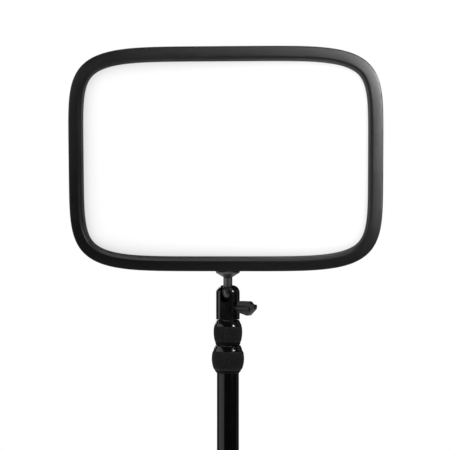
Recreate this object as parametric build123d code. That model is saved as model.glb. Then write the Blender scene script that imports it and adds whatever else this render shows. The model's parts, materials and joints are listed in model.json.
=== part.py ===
from build123d import *
import os
from math import cos, sin, pi, radians, sqrt

# LED panel light on a ball head, a three-section telescoping pole and a desk clamp.
# Units are millimetres. Z is up, the light faces -Y, and +X is to its right as seen from the front.
# The origin is on the pole axis, on the desk top: the underside of the clamp's upper jaw pad.

# ---- driving dimensions: panel ----
PANEL_HALF_WIDTH = 175.0
PANEL_HALF_HEIGHT = 125.0
OUTLINE_POWER = 5.25
OUTLINE_POINTS = 72
FRONT_Y = -15.0
BACK_Y = 15.0
SEAM_Y = 8.0
WALL = 2.2
EDGE_SETBACK = 2.3
EDGE_INSET = 1.0
FACE_SETBACK = 1.3
BACK_ROUND = 3.0
FACE_INSET = 11.5
BEVEL_INSET = 14.2
BEVEL_DEPTH = 2.7
WINDOW_INSET = 16.8
TRIM_THICKNESS = 1.0
DIFFUSER_THICKNESS = 2.0
FILM_THICKNESS = 0.3
GUIDE_THICKNESS = 4.0
GUIDE_HALF_WIDTH = 158.0
REFLECTOR_THICKNESS = 0.5
TRAY_INSET = 4.0
TRAY_FLOOR = 1.5
STUD_SHIFT = 2.0
TRIM_LAND = 0.8
GASKET_WIDTH = 4.0
GASKET_THICKNESS = 0.8
SHEET_GAP = 0.4
GUIDE_INSET = 9.0
TRAY_RIM = 2.0
TRAY_SLOT_X = 150.0
EMITTER_COUNT = 24
EMITTER_PITCH = 6.8
EMITTER_HALF = 1.4
EMITTER_FRONT, EMITTER_BACK = 159.5, 160.5
STRIP_THICKNESS = 1.5
STRIP_HALF_LENGTH = 84.0

# ---- driving dimensions: rear cover and its screws ----
COVER_SKIN = 1.6
LIP_DEPTH = 1.5
POST_RADIUS = 4.0
POST_GAP = 1.5
PILOT_RADIUS = 1.2
COVER_BOSS_RADIUS = 5.0
COVER_HOLE_RADIUS = 1.7
COVER_HEAD_RADIUS = 3.1
COVER_RECESS_RADIUS = 3.4
COVER_RECESS_DEPTH = 1.8
CROSS_HALF_LENGTH = 1.7
CROSS_HALF_WIDTH = 0.35
CROSS_DEPTH = 1.2
VENT_ROWS = (-56.0, 92.0)
VENT_COUNT = 14
VENT_PITCH = 6.0
VENT_START = 24.0
VENT_HALF_WIDTH = 1.1
VENT_HALF_LENGTH = 9.0

# ---- driving dimensions: board, buttons, inlet and mounting block ----
STANDOFF_RADIUS = 2.6
BOARD_HALF_WIDTH = 60.0
BOARD_HALF_HEIGHT = 25.0
BOARD_NOTCH_TOP = -15.0
BOARD_HOLE_RADIUS = 1.5
BOARD_HEAD_RADIUS = 2.4
BOARD_HEAD_HEIGHT = 1.6
COIL_FOOT = 8.0
COIL_SIZE = 10.0
SWITCH_HALF = 3.0
SWITCH_BODY = 2.4
SWITCH_TOP = 3.4
BUTTON_START = 4.2
FLANGE_START, FLANGE_END = 11.0, 12.6
POWER_RADIUS, POWER_OPENING = 6.0, 6.35
RESET_RADIUS, RESET_OPENING = 2.0, 2.35
INLET_HALF = 5.5
INLET_RADIUS, INLET_OPENING = 4.9, 5.0
INLET_BORE = 2.9
INLET_PIN = 1.0
INLET_DEPTH = 7.0
LEAD_RADIUS = 0.8
LEAD_BEND = 6.0
LEAD_RISE = 12.0
LEAD_LIFT = 0.6
BLOCK_HALF_WIDTH = 14.0
BLOCK_BOTTOM, BLOCK_TOP = -122.6, -104.0
BLOCK_SCREW_X, BLOCK_SCREW_Y = 10.0, 4.0

# ---- driving dimensions: ball head ----
LEAN = 5.2
BALL_Z = 541.5
BALL_RADIUS = 9.0
STEM_RADIUS = 5.1
STEM_TOP = 17.7
PANEL_REACH = 150.7
THREAD_RADIUS = 3.175
SOCKET_RADIUS = 13.3
SOCKET_BOTTOM = 511.7
SOCKET_TOP = 550.0
SOCKET_MOUTH = 6.6
SOCKET_ROUND = 8.45
CAVITY_RADIUS = 9.3
CAVITY_FLOOR = 520.5
NOTCH_ANGLE = -104.0
NOTCH_WIDTH = 11.2
NOTCH_FLARE = 3.0
NOTCH_BOTTOM = 531.0
FLAT_DISTANCE = 11.9
KNOB_ANGLE = -38.0
KNOB_Z = 524.6
BOLT_RADIUS = 2.5
BOLT_FIT = 0.1
BOLT_END = 24.0
HUB_RADIUS = 4.3
HUB_START = 14.1
HUB_END = 34.0
WING_THICKNESS = 6.0
WING_ROUND = 1.5
WING_HEIGHT = 8.1
WING_START = 15.8
WING_TOP_END = 32.5
WING_FOOT_END = 30.8
TIP_START = 36.0
TIP_TOP = 4.6
TIP_END = 40.0

# ---- driving dimensions: pole ----
LOWER_TUBE_RADIUS = 12.35
LOWER_TUBE_BORE = 11.15
MIDDLE_TUBE_RADIUS = 10.45
MIDDLE_TUBE_BORE = 9.35
UPPER_TUBE_RADIUS = 8.65
UPPER_TUBE_BORE = 7.45
LOWER_TUBE_ENDS = (5.0, 468.6)
MIDDLE_TUBE_ENDS = (20.0, 498.1)
UPPER_TUBE_ENDS = (34.0, 518.5)
PLUG_BOTTOM = 504.5
RUNNING_FIT = 0.1
CLEARANCE = 0.35
LOCK_NECK = 2.1
UPPER_THREAD_RADIUS, LOWER_THREAD_RADIUS = 12.4, 13.6
UPPER_WAIST, LOWER_WAIST = 13.8, 15.45
BUSH_LENGTH = 24.0
SLIT_HALF_WIDTH = 0.8
SLEEVE_FOOT_WALL, SLEEVE_TOP_WALL = 1.7, 1.1
UPPER_SLEEVE_TOP, LOWER_SLEEVE_TOP = 506.2, 477.2

# ---- driving dimensions: desk clamp ----
JAW_HALF_WIDTH = 30.0
JAW_FRONT = -34.0
SPINE_FRONT = 24.0
SPINE_BACK = 34.0
PAD_THICKNESS = 3.0
JAW_THICKNESS = 10.0
BOSS_RADIUS = 17.0
BOSS_TOP = 45.0
ARM_TOP = -80.0
ARM_THICKNESS = 12.0
ARM_HALF_WIDTH = 18.0
SCREW_RADIUS = 5.0
JAW_OPENING = 45.0
PLATE_RADIUS = 20.0
KNOB_TOP = -140.0
KNOB_HEIGHT = 20.0
KNOB_RADIUS = 19.0
JAW_CORNER = 9.0
PAD_CORNER = 7.0
SPINE_HALF_WIDTH = 25.0
ARM_FRONT = -20.0
ARM_CORNER = 12.0
RIB_HALF_WIDTH = 4.0
RIB_HEIGHT = 12.0
BOSS_FOOT_RADIUS = 21.0
POLE_SCREW_RADIUS = 2.5
POLE_SCREW_HEIGHTS = (21.0, 37.0)
HEX_RADIUS = 1.45
HEX_DEPTH = 3.0
PLATE_EDGE = 4.0
PLATE_DEPTH = 14.0
PLATE_BORE_DEPTH = 6.0
PIN_RADIUS = 1.5
PIN_HALF_LENGTH = 10.0
PIN_Z = KNOB_TOP - 7.0
SCREW_FOOT = KNOB_TOP - 14.0
LOBE_COUNT = 6
LOBE_RADIUS = 7.5
COLLAR_RADIUS = 9.0
COLLAR_HEIGHT = 4.0

# ---- frames ----
STEM_FRAME = Pos(0, 0, BALL_Z) * Rot(LEAN, 0, 0)
PANEL_FRAME = STEM_FRAME * Pos(-STUD_SHIFT, 0, PANEL_REACH)
TRIM_Y = FRONT_Y + BEVEL_DEPTH
DIFFUSER_Y = TRIM_Y + TRIM_THICKNESS
FILM_Y = DIFFUSER_Y + DIFFUSER_THICKNESS
GUIDE_Y = FILM_Y + FILM_THICKNESS
REFLECTOR_Y = GUIDE_Y + GUIDE_THICKNESS
TRAY_Y = REFLECTOR_Y + REFLECTOR_THICKNESS
TRAY_BACK = TRAY_Y + TRAY_FLOOR
GASKET_BACK = FILM_Y + GASKET_THICKNESS
COVER_FLOOR = BACK_Y - 2.0
BOARD_Y = 2.0
BOARD_THICKNESS = 1.6
BOARD_Z = -86.0
CONTROL_Z = -86.0
POWER_X = 0.0
RESET_X = 22.0
INLET_X = -30.0
POST_PLACES = [(x, z) for x in (-130.0, 0.0, 130.0) for z in (-92.0, 92.0) if (x, z) != (0.0, -92.0)]
BOARD_PLACES = [(x, BOARD_Z + z) for x in (-54.0, 54.0) for z in (-20.0, 20.0)]


# ---- shape helpers ----
def outline_point(angle, inset, y):
    """A point of the panel's superellipse, moved inwards along its normal."""
    power = OUTLINE_POWER
    c, s = cos(angle), sin(angle)
    reach = (abs(c / PANEL_HALF_WIDTH) ** power + abs(s / PANEL_HALF_HEIGHT) ** power) ** (-1 / power)
    x, z = reach * c, reach * s
    nx = abs(x / PANEL_HALF_WIDTH) ** (power - 1) / PANEL_HALF_WIDTH * (1 if x > 0 else -1)
    nz = abs(z / PANEL_HALF_HEIGHT) ** (power - 1) / PANEL_HALF_HEIGHT * (1 if z > 0 else -1)
    size = sqrt(nx * nx + nz * nz)
    return (x - inset * nx / size, y, z - inset * nz / size)


def outline_wire(inset, y):
    step = 2 * pi / OUTLINE_POINTS
    points = [outline_point(i * step, inset, y) for i in range(OUTLINE_POINTS)]
    return Wire([Edge.make_spline([Vector(*p) for p in points], periodic=True)])


def slab(inset, front, back):
    """A plate of the panel's outline between two depths."""
    return extrude(Face(outline_wire(inset, front)), amount=back - front, dir=(0, 1, 0))


def taper(inset_a, y_a, inset_b, y_b):
    return Solid.make_loft([outline_wire(inset_a, y_a), outline_wire(inset_b, y_b)], ruled=True)


def block(x0, x1, y0, y1, z0, z1):
    size = Box(x1 - x0, y1 - y0, z1 - z0)
    return Pos((x0 + x1) / 2, (y0 + y1) / 2, (z0 + z1) / 2) * size


def rod(radius, start, end):
    """A round bar between two points."""
    start, end = Vector(*start), Vector(*end)
    return Solid.make_cylinder(radius, (end - start).length, Plane(origin=start, z_dir=end - start))


def turned(*profile):
    """A solid turned about Z from (radius, height) points."""
    wire = Wire.make_polygon([Vector(r, 0, z) for r, z in profile])
    return revolve(Face(wire), Axis.Z)


def ring(outer, inner, bottom, top):
    return turned((inner, bottom), (outer, bottom), (outer, top), (inner, top))


def arc_turned(start, middle, end, inner):
    """A band turned about Z, with one outer arc and a straight inner wall."""
    arc = Edge.make_three_point_arc(*[Vector(r, 0, z) for r, z in (start, middle, end)])
    corners = [end, (inner, end[1]), (inner, start[1]), start]
    sides = Wire.make_polygon([Vector(r, 0, z) for r, z in corners], close=False)
    return revolve(Face(Wire([arc] + list(sides.edges()))), Axis.Z)


def group(pieces):
    return Compound(children=[piece for piece in pieces])


# ---- panel, modelled about its own centre and placed by PANEL_FRAME ----
def front_bezel():
    """Bezel whose face falls away slightly from its inner edge to its outer edge."""
    sections = [(0, SEAM_Y), (0, FRONT_Y + EDGE_SETBACK), (EDGE_INSET, FRONT_Y + FACE_SETBACK),
                (FACE_INSET, FRONT_Y)]
    shell = Solid.make_loft([outline_wire(inset, y) for inset, y in sections], ruled=True)
    shell -= slab(WALL, TRIM_Y, SEAM_Y)
    shell -= taper(FACE_INSET, FRONT_Y, BEVEL_INSET, TRIM_Y)
    return shell - rod(THREAD_RADIUS + 0.3, (STUD_SHIFT, 0, -130), (STUD_SHIFT, 0, -118))


def trim_ring():
    return slab(WALL + TRIM_LAND, TRIM_Y, DIFFUSER_Y) - slab(WINDOW_INSET, TRIM_Y, DIFFUSER_Y)


def diffuser_panel():
    return slab(TRAY_INSET, DIFFUSER_Y, FILM_Y)


def diffusion_film():
    return slab(TRAY_INSET + GASKET_WIDTH + SHEET_GAP, FILM_Y, GUIDE_Y)


def foam_gasket():
    return slab(TRAY_INSET, FILM_Y, GASKET_BACK) - slab(TRAY_INSET + GASKET_WIDTH, FILM_Y, GASKET_BACK)


def guide_shape(front, back):
    window = block(-GUIDE_HALF_WIDTH, GUIDE_HALF_WIDTH, front, back, -PANEL_HALF_HEIGHT, PANEL_HALF_HEIGHT)
    return slab(GUIDE_INSET, front, back) & window


def light_guide_plate():
    return guide_shape(GUIDE_Y, REFLECTOR_Y)


def reflector_sheet():
    return guide_shape(REFLECTOR_Y, TRAY_Y)


def light_tray():
    """Folded aluminium tray: floor, rim all round, a notch over the mounting block."""
    floor = slab(TRAY_INSET, TRAY_Y, TRAY_BACK)
    rim = slab(TRAY_INSET, GASKET_BACK, TRAY_Y) - slab(TRAY_INSET + TRAY_RIM, GASKET_BACK, TRAY_Y)
    tray = floor + rim
    tray -= block(-18, 18, TRAY_Y - 0.01, TRAY_BACK, -125, -102)
    tray -= block(-7 + STUD_SHIFT, 7 + STUD_SHIFT, -4, TRAY_BACK, -125, -102)
    for side in (-1, 1):
        slot = block(-6, 6, TRAY_Y, TRAY_BACK, -3, 3)
        tray -= Pos(side * TRAY_SLOT_X, 0, BOARD_Z + LEAD_RISE) * slot
    return tray


def led_strips():
    outer = EMITTER_BACK + STRIP_THICKNESS
    strip = block(EMITTER_BACK, outer, GUIDE_Y, TRAY_Y, -STRIP_HALF_LENGTH, STRIP_HALF_LENGTH)
    other = block(-outer, -EMITTER_BACK, GUIDE_Y, TRAY_Y, -STRIP_HALF_LENGTH, STRIP_HALF_LENGTH)
    return group([strip, other])


def led_packages():
    """Light emitters in a row on each strip, facing the edge of the light guide."""
    rows = []
    for side in (-1, 1):
        inner, outer = sorted((side * EMITTER_FRONT, side * EMITTER_BACK))
        for i in range(EMITTER_COUNT):
            z = (i - (EMITTER_COUNT - 1) / 2) * EMITTER_PITCH
            bottom, top = z - EMITTER_HALF, z + EMITTER_HALF
            rows.append(block(inner, outer, GUIDE_Y + 2 * SHEET_GAP, REFLECTOR_Y - SHEET_GAP, bottom, top))
    return group(rows)


def cover_posts():
    posts = []
    for x, z in POST_PLACES:
        end = (x, COVER_FLOOR - POST_GAP, z)
        post = rod(POST_RADIUS, (x, TRAY_BACK, z), end)
        posts.append(post - rod(PILOT_RADIUS, (x, TRAY_BACK + 2, z), end))
    return group(posts)


def rear_cover():
    """Back shell with two bands of vent slots, screw bosses and the control openings."""
    shell = slab(0, SEAM_Y, BACK_Y)
    shell = fillet(shell.edges().group_by(Axis.Y)[-1], BACK_ROUND)
    shell -= slab(WALL + COVER_SKIN, SEAM_Y, COVER_FLOOR)
    lip_front = SEAM_Y - LIP_DEPTH
    lip = slab(WALL + RUNNING_FIT, lip_front, SEAM_Y) - slab(WALL + COVER_SKIN, lip_front, SEAM_Y)
    lip -= block(-16 + STUD_SHIFT, 16 + STUD_SHIFT, 0, BACK_Y, -PANEL_HALF_HEIGHT, -110)
    shell += lip
    for x, z in POST_PLACES:
        shell += rod(COVER_BOSS_RADIUS, (x, COVER_FLOOR - POST_GAP, z), (x, COVER_FLOOR, z))
        shell -= rod(COVER_HOLE_RADIUS, (x, COVER_FLOOR - 2, z), (x, BACK_Y, z))
        shell -= rod(COVER_RECESS_RADIUS, (x, BACK_Y - COVER_RECESS_DEPTH, z), (x, BACK_Y, z))
    slot = block(-VENT_HALF_WIDTH, VENT_HALF_WIDTH, COVER_FLOOR, BACK_Y, -VENT_HALF_LENGTH, VENT_HALF_LENGTH)
    places = [side * (VENT_START + VENT_PITCH * i) for side in (-1, 1) for i in range(VENT_COUNT)]
    for z in VENT_ROWS:
        shell -= [Pos(x, 0, z) * slot for x in places]
    for radius, x in ((POWER_OPENING, POWER_X), (RESET_OPENING, RESET_X), (INLET_OPENING, INLET_X)):
        shell -= rod(radius, (x, COVER_FLOOR, CONTROL_Z), (x, BACK_Y, CONTROL_Z))
    return shell


def cover_screws():
    """Self-tapping screws with a cross recess, sunk in the cover."""
    long, thin = CROSS_HALF_LENGTH, CROSS_HALF_WIDTH
    cross = block(-thin, thin, BACK_Y - CROSS_DEPTH, BACK_Y, -long, long)
    cross += block(-long, long, BACK_Y - CROSS_DEPTH, BACK_Y, -thin, thin)
    seat = BACK_Y - COVER_RECESS_DEPTH
    screws = []
    for x, z in POST_PLACES:
        shank = rod(PILOT_RADIUS, (x, TRAY_BACK + 3, z), (x, seat, z))
        head = rod(COVER_HEAD_RADIUS, (x, seat, z), (x, BACK_Y - 0.2, z))
        screws.append(shank + head - Pos(x, 0, z) * cross)
    return group(screws)


def board_standoffs():
    posts = []
    for x, z in BOARD_PLACES:
        post = rod(STANDOFF_RADIUS, (x, TRAY_BACK, z), (x, BOARD_Y, z))
        posts.append(post - rod(PILOT_RADIUS, (x, TRAY_BACK + 0.5, z), (x, BOARD_Y, z)))
    return group(posts)


def control_board():
    """Circuit board with a notch over the mounting block and four screw holes."""
    bottom, top = BOARD_Z - BOARD_HALF_HEIGHT, BOARD_Z + BOARD_HALF_HEIGHT
    board = block(-BOARD_HALF_WIDTH, BOARD_HALF_WIDTH, BOARD_Y, BOARD_Y + BOARD_THICKNESS, bottom, top)
    board -= block(-18, 18, BOARD_Y - 1, BOARD_Y + 3, bottom - 1, BOARD_Z + BOARD_NOTCH_TOP)
    for x, z in BOARD_PLACES:
        board -= rod(BOARD_HOLE_RADIUS, (x, BOARD_Y - 1, z), (x, BOARD_Y + 3, z))
    return board


def board_screws():
    top = BOARD_Y + BOARD_THICKNESS
    screws = []
    for x, z in BOARD_PLACES:
        shank = rod(PILOT_RADIUS, (x, TRAY_BACK + 1, z), (x, top, z))
        screws.append(shank + rod(BOARD_HEAD_RADIUS, (x, top, z), (x, top + BOARD_HEAD_HEIGHT, z)))
    return group(screws)


def board_parts():
    """Driver coils, capacitors, the main chip and the radio can, standing on the board."""
    top = BOARD_Y + BOARD_THICKNESS
    foot, half = BOARD_Z + COIL_FOOT, COIL_SIZE / 2
    coils = [block(x - half, x + half, top, top + 4.5, foot, foot + COIL_SIZE) for x in (-44, -30)]
    cans = [rod(3.2, (x, top, BOARD_Z + 10), (x, top + 7, BOARD_Z + 10)) for x in (-16, -8)]
    chip = block(4, 14, top, top + 1.2, BOARD_Z + 5, BOARD_Z + 15)
    radio = block(24, 42, top, top + 2.4, BOARD_Z + 6, BOARD_Z + 19)
    return group(coils + cans + [chip, radio])


def button_switches():
    top = BOARD_Y + BOARD_THICKNESS
    low, high = CONTROL_Z - SWITCH_HALF, CONTROL_Z + SWITCH_HALF
    switches = []
    for x in (POWER_X, RESET_X):
        body = block(x - SWITCH_HALF, x + SWITCH_HALF, top, top + SWITCH_BODY, low, high)
        switches.append(body + rod(1.6, (x, top + SWITCH_BODY, CONTROL_Z), (x, top + SWITCH_TOP, CONTROL_Z)))
    return group(switches)


def dc_inlet():
    """Round power socket with a centre pin, on the board and flush with the back."""
    x, z = INLET_X, CONTROL_Z
    top = BOARD_Y + BOARD_THICKNESS
    body = block(x - INLET_HALF, x + INLET_HALF, top, COVER_FLOOR, z - INLET_HALF, z + INLET_HALF)
    body += rod(INLET_RADIUS, (x, COVER_FLOOR, z), (x, BACK_Y - 0.2, z))
    body -= rod(INLET_BORE, (x, COVER_FLOOR - INLET_DEPTH, z), (x, BACK_Y, z))
    return body + rod(INLET_PIN, (x, COVER_FLOOR - INLET_DEPTH, z), (x, COVER_FLOOR + 0.5, z))


def power_button():
    start, z = BOARD_Y + BOARD_THICKNESS + BUTTON_START, CONTROL_Z
    button = rod(2.0, (POWER_X, start, z), (POWER_X, FLANGE_START, z))
    button += rod(7.5, (POWER_X, FLANGE_START, z), (POWER_X, FLANGE_END, z))
    cap = rod(POWER_RADIUS, (POWER_X, FLANGE_END, z), (POWER_X, BACK_Y + 0.8, z))
    cap = fillet(cap.edges().group_by(Axis.Y)[-1], 0.5)
    return button + cap


def reset_button():
    start, z = BOARD_Y + BOARD_THICKNESS + BUTTON_START, CONTROL_Z
    button = rod(1.4, (RESET_X, start, z), (RESET_X, FLANGE_START, z))
    button += rod(3.4, (RESET_X, FLANGE_START, z), (RESET_X, FLANGE_END, z))
    return button + rod(RESET_RADIUS, (RESET_X, FLANGE_END, z), (RESET_X, BACK_Y - 0.3, z))


def led_leads():
    """One lead to each strip, from the board along the tray and down through its slot."""
    z = BOARD_Z + LEAD_RISE
    leads = []
    for side in (-1, 1):
        start = (side * BOARD_HALF_WIDTH, BOARD_Y + BOARD_THICKNESS / 2, z)
        knee = (side * 78, LEAD_LIFT, z)
        bend = (side * 146, LEAD_LIFT, z)
        end = (side * 153, TRAY_BACK + LEAD_LIFT, z)
        path = FilletPolyline(start, knee, bend, end, radius=LEAD_BEND)
        profile = Plane(origin=path @ 0, z_dir=path % 0) * Circle(LEAD_RADIUS)
        leads.append(sweep(profile, path=path))
    return group(leads)


def mount_block():
    """Aluminium block inside the lower wall, with the threaded hole for the stud."""
    x, half = STUD_SHIFT, BLOCK_HALF_WIDTH
    body = block(x - half, x + half, TRAY_Y + 0.1, SEAM_Y - 0.5, BLOCK_BOTTOM, BLOCK_TOP)
    body -= rod(THREAD_RADIUS + 0.075, (x, 0, -123), (x, 0, -109))
    for side in (-1, 1):
        hole_x = x + side * BLOCK_SCREW_X
        body -= rod(PILOT_RADIUS, (hole_x, BLOCK_SCREW_Y, -123), (hole_x, BLOCK_SCREW_Y, -112))
    return body


def mount_block_screws():
    screws = []
    for side in (-1, 1):
        x = STUD_SHIFT + side * BLOCK_SCREW_X
        screws.append(rod(PILOT_RADIUS, (x, BLOCK_SCREW_Y, BLOCK_BOTTOM), (x, BLOCK_SCREW_Y, -113)))
    return group(screws)


# ---- ball head: stem pieces about the ball's centre, the rest about the pole ----
def ball_stud():
    ball = Sphere(BALL_RADIUS)
    stem = rod(STEM_RADIUS, (0, 0, 0), (0, 0, STEM_TOP))
    thread = rod(THREAD_RADIUS, (0, 0, STEM_TOP), (0, 0, PANEL_REACH - 113))
    return ball + stem + thread


def lock_disc():
    """Bowl-shaped disc that runs up the stud and jams against the panel."""
    bore = THREAD_RADIUS + 0.08
    foot, shoulder, rim, edge, top = 17.9, 22.6, 23.4, 24.8, 25.4
    return turned((bore, foot), (5.3, foot), (12.9, shoulder), (13.6, rim), (13.6, edge),
                  (13.0, top), (bore, top))


def knob_direction(distance):
    angle = radians(KNOB_ANGLE)
    return (distance * cos(angle), distance * sin(angle), KNOB_Z)


def ball_socket():
    """Round housing with a spherical cavity, a drop notch, a flat and the bolt's bore."""
    centre = SOCKET_RADIUS - SOCKET_ROUND
    corner_z = SOCKET_TOP - sqrt(SOCKET_ROUND ** 2 - (SOCKET_MOUTH - centre) ** 2)
    side = Wire.make_polygon(
        [Vector(centre, 0, corner_z + SOCKET_ROUND), Vector(0, 0, corner_z + SOCKET_ROUND),
         Vector(0, 0, SOCKET_BOTTOM), Vector(SOCKET_RADIUS, 0, SOCKET_BOTTOM),
         Vector(SOCKET_RADIUS, 0, corner_z)], close=False)
    diagonal = SOCKET_ROUND / sqrt(2)
    crown = Edge.make_three_point_arc(
        Vector(SOCKET_RADIUS, 0, corner_z), Vector(centre + diagonal, 0, corner_z + diagonal),
        Vector(centre, 0, corner_z + SOCKET_ROUND))
    body = revolve(Face(Wire(list(side.edges()) + [crown])), Axis.Z)
    body -= Pos(0, 0, BALL_Z) * Sphere(CAVITY_RADIUS)
    body -= rod(CAVITY_RADIUS, (0, 0, CAVITY_FLOOR), (0, 0, BALL_Z))
    body -= rod(SOCKET_MOUTH, (0, 0, BALL_Z), (0, 0, SOCKET_TOP + 5))
    body -= rod(UPPER_TUBE_RADIUS, (0, 0, SOCKET_BOTTOM), (0, 0, UPPER_TUBE_ENDS[1]))
    body -= rod(BOLT_RADIUS, (0, 0, UPPER_TUBE_ENDS[1]), (0, 0, CAVITY_FLOOR))
    radius = NOTCH_WIDTH / 2
    notch = block(0, 20, -radius, radius, NOTCH_BOTTOM + radius, SOCKET_TOP + 5)
    notch += rod(radius, (0, 0, NOTCH_BOTTOM + radius), (20, 0, NOTCH_BOTTOM + radius))
    flare_z = SOCKET_TOP - NOTCH_FLARE
    reach = radius + NOTCH_FLARE
    flare = block(0, 20, -reach, reach, flare_z, SOCKET_TOP + 1)
    for side in (-1, 1):
        flare -= rod(NOTCH_FLARE, (-1, side * reach, flare_z), (21, side * reach, flare_z))
    notch += flare
    flat = block(FLAT_DISTANCE, 20, -10, 10, SOCKET_BOTTOM - 1, SOCKET_TOP + 5)
    body -= Rot(0, 0, NOTCH_ANGLE) * (notch + flat)
    return body - rod(BOLT_RADIUS + BOLT_FIT, knob_direction(0), knob_direction(20))


def ball_seat():
    """Nylon brake seat: cupped above, with a cross hole for the bolt's tip."""
    seat = rod(CAVITY_RADIUS - 0.1, (0, 0, CAVITY_FLOOR + 0.3), (0, 0, BALL_Z - 5.5))
    seat -= Pos(0, 0, BALL_Z) * Sphere(BALL_RADIUS + 0.1)
    gap = Rot(0, 0, NOTCH_ANGLE) * block(0, 12, -6, 6, 0, 600)
    seat -= block(-11, 11, -11, 11, NOTCH_BOTTOM, BALL_Z) & gap
    return seat - rod(BOLT_RADIUS + 0.4, knob_direction(-3), knob_direction(20))


def clamp_bolt():
    return rod(BOLT_RADIUS, knob_direction(1), knob_direction(BOLT_END))


def bolt_washer():
    washer = rod(4.6, knob_direction(SOCKET_RADIUS), knob_direction(SOCKET_RADIUS + 0.8))
    return washer - rod(BOLT_RADIUS, knob_direction(10), knob_direction(20))


def wing_knob():
    """Hub on the bolt inside one chunky lever, cut off slantwise at its lower outer corner."""
    frame = Plane(origin=knob_direction(0), x_dir=knob_direction(1)[:2] + (0,), z_dir=(0, 0, 1))
    hub = rod(HUB_RADIUS, (HUB_START, 0, 0), (HUB_END, 0, 0))
    corners = [(WING_START, -HUB_RADIUS), (WING_FOOT_END, -WING_HEIGHT), (TIP_END, 0), (TIP_END, TIP_TOP),
               (TIP_START, TIP_TOP), (WING_TOP_END, WING_HEIGHT), (WING_START, WING_HEIGHT)]
    outline = Wire.make_polygon([Vector(x, -WING_THICKNESS / 2, z) for x, z in corners])
    lever = extrude(Face(outline), amount=WING_THICKNESS, dir=(0, 1, 0))
    lever = fillet(lever.edges().filter_by(Axis.Y), WING_ROUND)
    bore = rod(BOLT_RADIUS, (0, 0, 0), (BOLT_END, 0, 0))
    return frame.location * (hub + lever - bore)


def tube_top_plug():
    plug = rod(UPPER_TUBE_BORE, (0, 0, PLUG_BOTTOM), (0, 0, UPPER_TUBE_ENDS[1]))
    return plug - rod(BOLT_RADIUS, (0, 0, PLUG_BOTTOM - 1), (0, 0, CAVITY_FLOOR))


def socket_screw():
    shank = rod(BOLT_RADIUS, (0, 0, PLUG_BOTTOM), (0, 0, CAVITY_FLOOR))
    return shank + rod(4.2, (0, 0, PLUG_BOTTOM - 4), (0, 0, PLUG_BOTTOM))


# ---- pole ----
def tube(radius, bore, ends):
    return ring(radius, bore, ends[0], ends[1])


def upper_tube():
    return tube(UPPER_TUBE_RADIUS, UPPER_TUBE_BORE, UPPER_TUBE_ENDS)


def middle_tube():
    return tube(MIDDLE_TUBE_RADIUS, MIDDLE_TUBE_BORE, MIDDLE_TUBE_ENDS)


def lower_tube():
    return tube(LOWER_TUBE_RADIUS, LOWER_TUBE_BORE, LOWER_TUBE_ENDS)


def guide_bush(inner, outer, foot):
    """Nylon bush pressed over the foot of a sliding tube, running in the tube outside it."""
    return ring(outer, inner, foot, foot + BUSH_LENGTH)


def upper_guide_bush():
    return guide_bush(UPPER_TUBE_RADIUS + 0.05, MIDDLE_TUBE_BORE - RUNNING_FIT, UPPER_TUBE_ENDS[0])


def lower_guide_bush():
    return guide_bush(MIDDLE_TUBE_RADIUS, LOWER_TUBE_BORE - RUNNING_FIT, MIDDLE_TUBE_ENDS[0])


def split_sleeve(radius, bottom, top):
    """Tapered gripping sleeve with one slit, on the tube's mouth inside the lock nut."""
    sleeve = turned((radius + RUNNING_FIT, bottom), (radius + SLEEVE_FOOT_WALL, bottom),
                    (radius + SLEEVE_TOP_WALL, top), (radius + RUNNING_FIT, top))
    return sleeve - block(0, 20, -SLIT_HALF_WIDTH, SLIT_HALF_WIDTH, bottom - 1, top + 1)


def upper_split_sleeve():
    return split_sleeve(UPPER_TUBE_RADIUS, MIDDLE_TUBE_ENDS[1], UPPER_SLEEVE_TOP)


def lower_split_sleeve():
    return split_sleeve(MIDDLE_TUBE_RADIUS, LOWER_TUBE_ENDS[1], LOWER_SLEEVE_TOP)


def upper_lock_base():
    """Threaded collar fixed on the middle tube, with a flange that shows under the nut."""
    bore, thread = MIDDLE_TUBE_RADIUS, UPPER_THREAD_RADIUS
    foot, flange, top = 482.9, 486.1, 496.0
    return turned((bore, foot), (13.5, foot), (14.45, flange), (thread, flange), (thread, top), (bore, top))


def lower_lock_base():
    bore, thread = LOWER_TUBE_RADIUS, LOWER_THREAD_RADIUS
    foot, flange, top = 451.4, 454.3, 465.6
    return turned((bore, foot), (12.7, foot), (14.95, flange), (thread, flange), (thread, top), (bore, top))


def upper_lock_nut():
    """Twist nut: glossy bevelled top, a recessed waist under the grip, stepped bore."""
    tube_bore = UPPER_TUBE_RADIUS + CLEARANCE
    neck_bore = UPPER_TUBE_RADIUS + LOCK_NECK
    thread_bore = UPPER_THREAD_RADIUS + RUNNING_FIT
    foot, waist, shoulder, crown, top = 486.4, 497.0, 504.0, 506.7, 510.9
    return turned((thread_bore, foot), (13.4, foot), (UPPER_WAIST, waist), (UPPER_WAIST, shoulder),
                  (15.6, shoulder), (14.6, crown), (12.7, top), (tube_bore, top), (tube_bore, 507.3),
                  (neck_bore, crown), (neck_bore, waist), (thread_bore, waist))


def upper_lock_grip():
    return arc_turned((14.65, 486.4), (16.2, 497.1), (15.7, 503.8), UPPER_WAIST)


def lower_lock_nut():
    tube_bore = MIDDLE_TUBE_RADIUS + CLEARANCE
    neck_bore = MIDDLE_TUBE_RADIUS + LOCK_NECK
    thread_bore = LOWER_THREAD_RADIUS + RUNNING_FIT
    foot, waist, shoulder, crown, top = 454.7, 460.5, 475.9, 477.4, 482.3
    return turned((thread_bore, foot), (14.85, foot), (LOWER_WAIST, waist), (LOWER_WAIST, shoulder),
                  (16.4, shoulder), (16.2, crown), (14.35, top), (tube_bore, top), (tube_bore, 478.4),
                  (neck_bore, 477.8), (neck_bore, 466.6), (thread_bore, 466.6))


def lower_lock_grip():
    return arc_turned((15.8, 455.4), (18.25, 466.6), (17.2, 475.8), LOWER_WAIST)


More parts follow.
